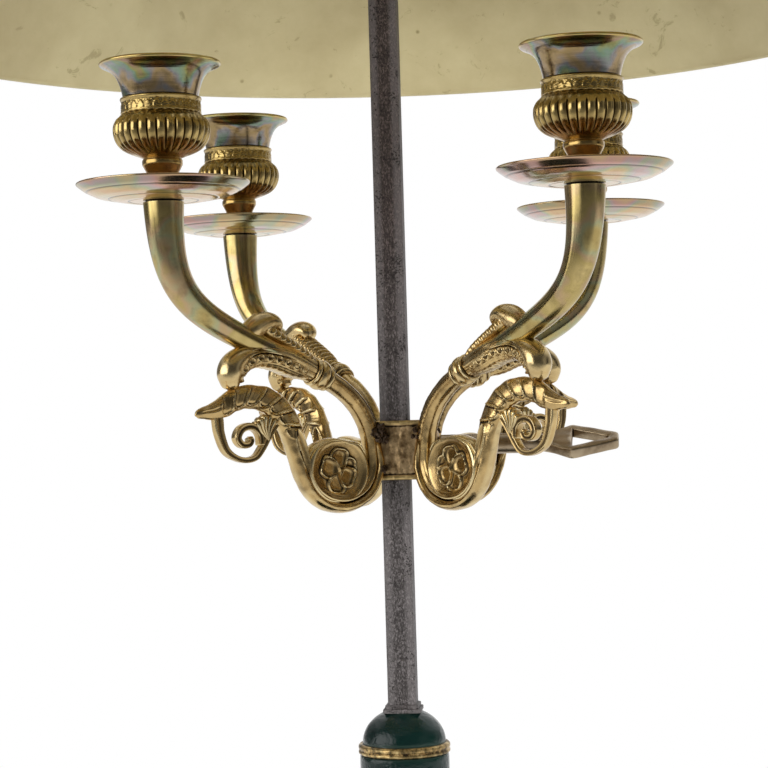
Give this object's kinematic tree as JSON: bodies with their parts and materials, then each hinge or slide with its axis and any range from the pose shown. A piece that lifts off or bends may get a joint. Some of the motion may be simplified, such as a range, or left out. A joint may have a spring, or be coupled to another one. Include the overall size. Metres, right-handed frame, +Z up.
{
  "type": "bouillotte lamp",
  "caption": "Tall candle lamp with a round dish base, a square stem, a sliding set of scrolled brass candle branches and a sliding conical shade, each held by a hand screw.",
  "frame": {"origin": "centre of the underside of the base, on the stem's axis", "axes": "+Z up along the square stem; +X towards the flat heads of both hand screws; the candle branches stand at 45 degrees to X and Y"},
  "size_m": [0.4256, 0.4254, 0.6805],
  "materials": {
    "green_felt": "matte felt",
    "plate_tin": "dull painted tinplate",
    "ballast_iron": "raw cast iron",
    "green_lacquer": "glossy dark green lacquer",
    "gilt_ring_brass": "worn gilt",
    "stem_iron": "dark pitted iron with vertical grain",
    "steel_hardware": "turned steel",
    "turned_brass": "polished turned brass",
    "sleeve_bronze": "dark bronzed brass with bright edges",
    "screw_bronze": "brown bronzed brass",
    "spider_iron": "blackened iron strip",
    "shade_paint": "aged cream paint inside, dark green outside",
    "cast_brass": "chased cast brass with brown patina in the recesses",
    "polished_brass": "polished brass with faint heat tint",
    "spun_brass": "polished spun brass with pink and green tint"
  },
  "bodies": {
    "root": {"base_felt": "green_felt", "base_plate": "plate_tin", "base_weight": "ballast_iron", "base_dish": "green_lacquer", "dish_rim_band": "gilt_ring_brass", "column_ring": "gilt_ring_brass", "column": "green_lacquer", "dome_ring": "gilt_ring_brass", "dome_cap": "green_lacquer", "stem_flange": "stem_iron", "stem": "stem_iron", "stem_washer": "steel_hardware", "stem_nut": "steel_hardware", "finial": "turned_brass", "carry_ring": "turned_brass"},
    "arms": {"arm_sleeve": "sleeve_bronze", "arm_scroll_1": "cast_brass", "arm_scroll_2": "cast_brass", "arm_scroll_3": "cast_brass", "arm_scroll_4": "cast_brass", "leaf_cup_1": "cast_brass", "leaf_cup_2": "cast_brass", "leaf_cup_3": "cast_brass", "leaf_cup_4": "cast_brass", "arm_horn_1": "polished_brass", "arm_horn_2": "polished_brass", "arm_horn_3": "polished_brass", "arm_horn_4": "polished_brass", "drip_pan_1": "spun_brass", "drip_pan_2": "spun_brass", "drip_pan_3": "spun_brass", "drip_pan_4": "spun_brass", "candle_cup_1": "cast_brass", "candle_cup_2": "cast_brass", "candle_cup_3": "cast_brass", "candle_cup_4": "cast_brass", "cup_studs": "steel_hardware"},
    "arm_clamp_pad": {"arm_pad": "turned_brass"},
    "arm_hand_screw": {"arm_key": "screw_bronze"},
    "shade": {"shade_wall": "shade_paint", "shade_wires": "steel_hardware", "shade_spider": "spider_iron", "spider_rivets": "spider_iron", "shade_sleeve": "sleeve_bronze"},
    "shade_clamp_pad": {"shade_pad": "turned_brass"},
    "shade_hand_screw": {"shade_key": "screw_bronze"},
    "liner_1": {"candle_liner_1": "spun_brass"},
    "liner_2": {"candle_liner_2": "spun_brass"},
    "liner_3": {"candle_liner_3": "spun_brass"},
    "liner_4": {"candle_liner_4": "spun_brass"}
  },
  "joints": [
    {"name": "arms_slide", "type": "slide", "parent": "root", "child": "arms", "axis": [0, 0, 1], "range_m": [-0.08, 0.06]},
    {"name": "arm_pad_slide", "type": "slide", "parent": "arms", "child": "arm_clamp_pad", "axis": [1, 0, 0], "range_m": [0, 0.00125]},
    {"name": "arm_screw_turn", "type": "hinge", "parent": "arm_clamp_pad", "child": "arm_hand_screw", "pos_m": [0.03, 0, 0.2375], "axis": [1, 0, 0], "range_deg": [0, 360]},
    {"name": "shade_slide", "type": "slide", "parent": "root", "child": "shade", "axis": [0, 0, 1], "range_m": [-0.06, 0.05]},
    {"name": "shade_pad_slide", "type": "slide", "parent": "shade", "child": "shade_clamp_pad", "axis": [1, 0, 0], "range_m": [0, 0.00125]},
    {"name": "shade_screw_turn", "type": "hinge", "parent": "shade_clamp_pad", "child": "shade_hand_screw", "pos_m": [0.03, 0, 0.5513], "axis": [1, 0, 0], "range_deg": [0, 360]},
    {"name": "liner_lift_1", "type": "slide", "parent": "arms", "child": "liner_1", "axis": [0, 0, 1], "range_m": [0, 0.03]},
    {"name": "liner_lift_2", "type": "slide", "parent": "arms", "child": "liner_2", "axis": [0, 0, 1], "range_m": [0, 0.03]},
    {"name": "liner_lift_3", "type": "slide", "parent": "arms", "child": "liner_3", "axis": [0, 0, 1], "range_m": [0, 0.03]},
    {"name": "liner_lift_4", "type": "slide", "parent": "arms", "child": "liner_4", "axis": [0, 0, 1], "range_m": [0, 0.03]}
  ],
  "couplings": [
    {"joint": "arm_screw_turn", "follows": "arm_pad_slide", "rad_per_m": 5026.5},
    {"joint": "shade_screw_turn", "follows": "shade_pad_slide", "rad_per_m": 5026.5}
  ]
}
